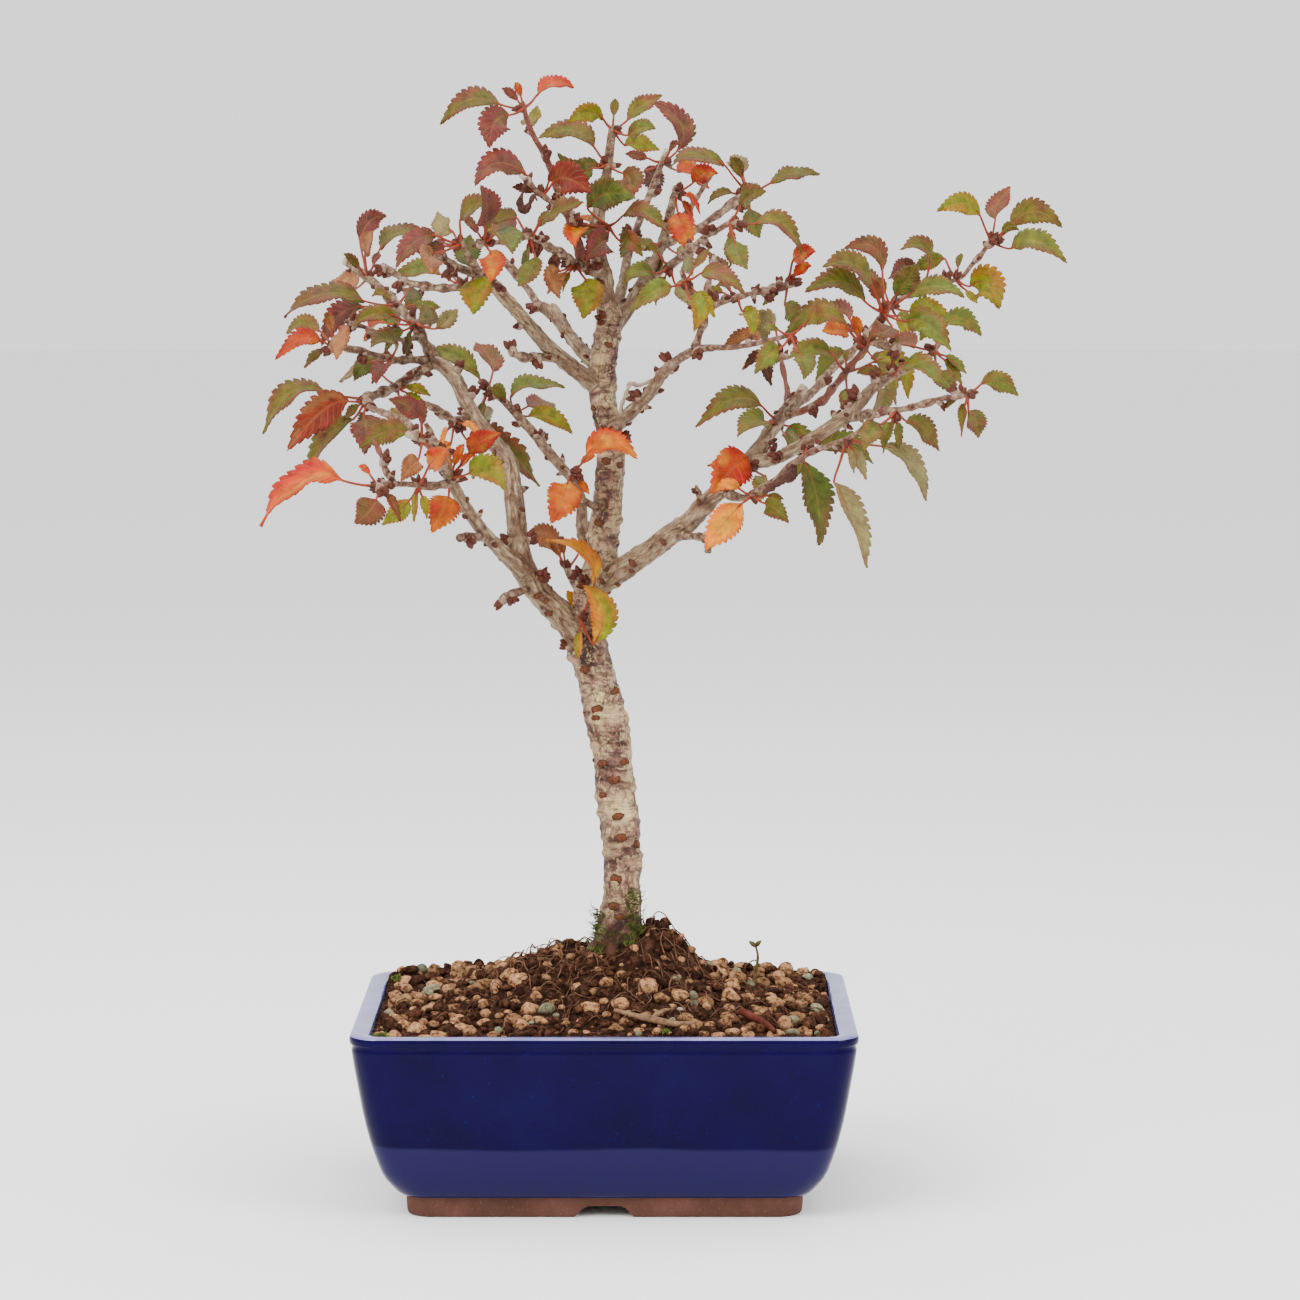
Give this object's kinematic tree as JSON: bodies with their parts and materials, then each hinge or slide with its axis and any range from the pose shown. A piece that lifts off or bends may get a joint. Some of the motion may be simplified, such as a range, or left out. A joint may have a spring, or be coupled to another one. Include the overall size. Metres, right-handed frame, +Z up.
{
  "type": "cherry bonsai",
  "caption": "Small cherry tree in autumn leaf, with a bare slender trunk and a broad crown, in a rectangular glazed pot filled with grit and soil.",
  "frame": {"origin": "middle of the bounding box, at the pot foot resting plane", "axes": "+Z up, +X to the right along the long side of the pot, -Y towards the front"},
  "size_m": [0.3306, 0.2216, 0.4503],
  "materials": {
    "glaze": "glossy blue glaze over a bare clay foot",
    "soil": "loose pumice, zeolite and fibrous soil, matt",
    "bark": "weathered grey bark, matt",
    "plum": "thin autumn leaf, satin",
    "coral": "thin autumn leaf, satin",
    "olive": "thin autumn leaf, satin",
    "tan": "thin autumn leaf, satin",
    "green": "thin autumn leaf, satin",
    "crimson": "thin autumn leaf, satin",
    "lime": "thin autumn leaf, satin",
    "yellow": "thin autumn leaf, satin",
    "pale": "thin autumn leaf, satin",
    "orange": "thin autumn leaf, satin"
  },
  "bodies": {
    "root": {"pot": "glaze", "soil": "soil", "trunk": "bark", "left_limb": "bark", "right_limb": "bark", "spray_far_left_crest": "plum", "spray_far_left_plum": "coral", "spray_left_inner_crest": "olive", "spray_left_point": "tan", "spray_left_underside": "olive", "spray_back_arm_left": "green", "spray_back_arm_right": "green", "spray_upper_left_fan": "crimson", "spray_upper_left_mat": "lime", "spray_crown_left_end": "plum", "spray_crown_left_mid": "yellow", "spray_crown_crimson": "plum", "spray_crown_left_tip": "olive", "spray_crown_top_left": "olive", "spray_crown_top": "yellow", "spray_crown_rear": "crimson", "spray_crown_right_high": "olive", "spray_crown_right_arm": "coral", "spray_crown_centre": "yellow", "spray_crown_right_mid": "green", "spray_crown_lime": "tan", "spray_crown_front": "green", "spray_crown_front_end": "olive", "spray_riser_top": "green", "spray_middle_twig": "lime", "spray_middle_tip": "coral", "spray_inner_right": "pale", "spray_middle_end": "olive", "spray_shoot_high": "green", "spray_shoot_low": "green", "spray_back_arm_green": "olive", "spray_big_arm_end": "green", "spray_big_arm_mid": "green", "spray_long_twig": "olive", "spray_long_twig_tip": "green", "spray_hanging_green": "green", "spray_hanging_pale": "pale", "spray_limb_green": "olive", "spray_limb_flame": "crimson", "spray_limb_gold": "yellow", "spray_shoot_crest": "olive", "spray_back_fan": "yellow", "spray_far_right_low": "olive", "spray_far_right_mid": "green", "spray_far_right_tip": "lime", "spray_low_left_tip": "olive", "spray_low_left_mid": "green", "spray_low_left_coral": "coral", "spray_low_left_lime": "lime", "spray_low_left_cut": "coral", "spray_low_left_flame": "orange", "spray_inner_left": "olive", "spray_knotty": "orange", "spray_trunk_front": "yellow", "spray_trunk_fork": "yellow"}
  },
  "joints": []
}
